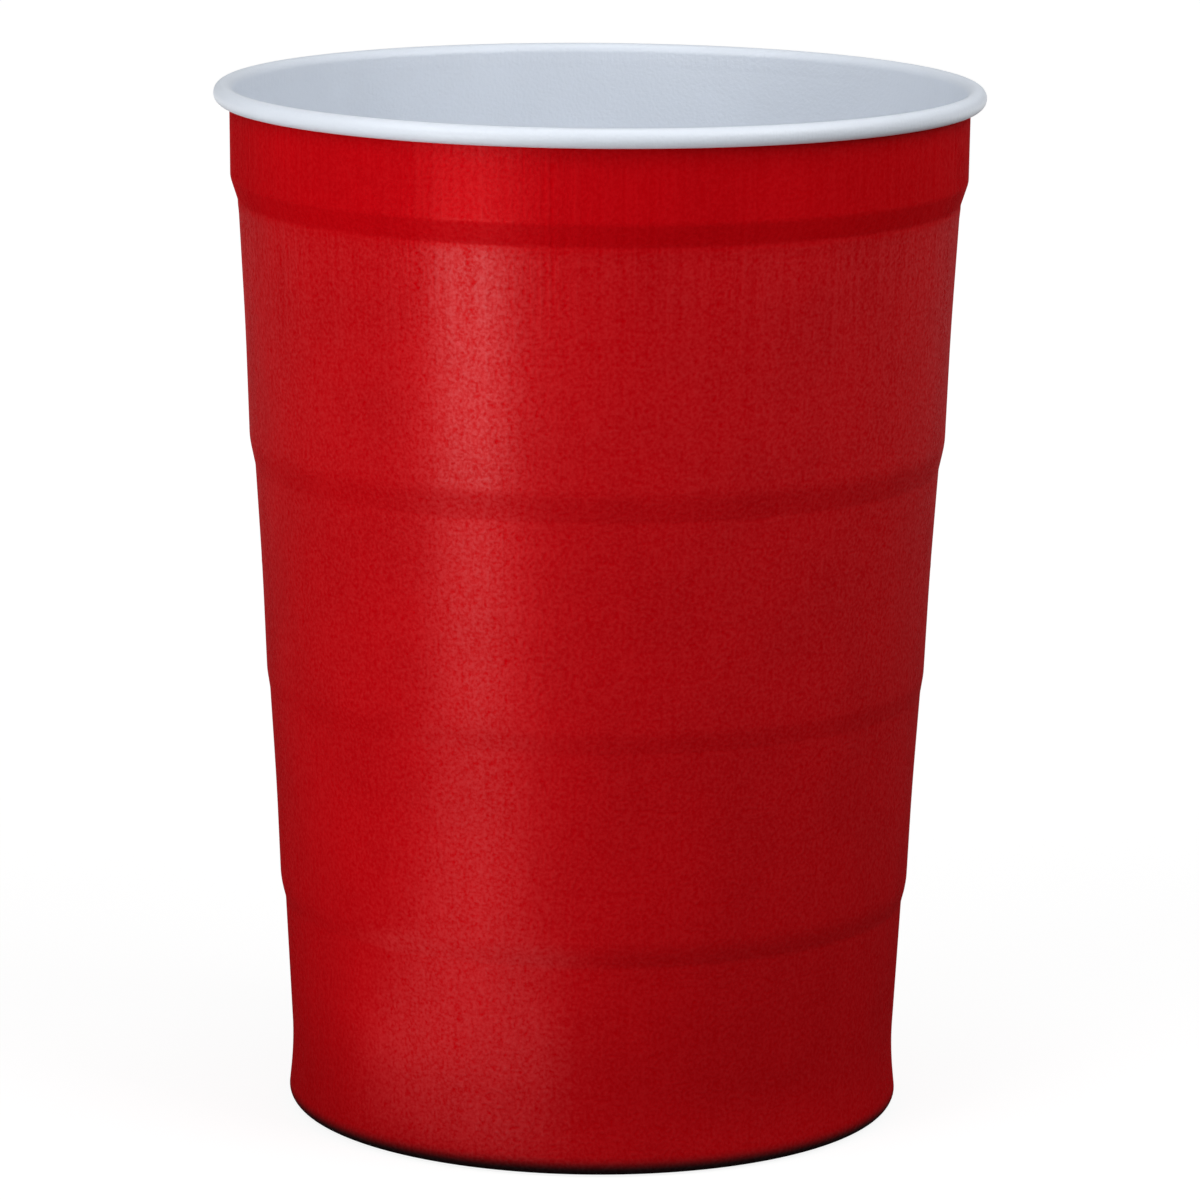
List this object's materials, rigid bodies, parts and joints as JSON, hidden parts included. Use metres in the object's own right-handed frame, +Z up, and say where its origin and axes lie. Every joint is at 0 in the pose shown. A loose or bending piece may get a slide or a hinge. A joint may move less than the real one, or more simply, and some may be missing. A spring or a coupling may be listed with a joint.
{
  "type": "steel party cup",
  "caption": "Tapered party cup drawn from thin sheet steel, enamelled red outside and pale inside, with a rolled rim and stepped shoulders down its wall.",
  "frame": {"origin": "on the standing plane, under the middle of the base", "axes": "+Z up along the cup's axis, from the base to the open mouth; X and Y are level and alike"},
  "size_m": [0.088, 0.088, 0.119],
  "materials": {
    "enamelled_steel": "satin red enamel outside, pale grey-white enamel inside and over the rolled rim"
  },
  "bodies": {
    "root": {"cup": "enamelled_steel"}
  },
  "joints": []
}
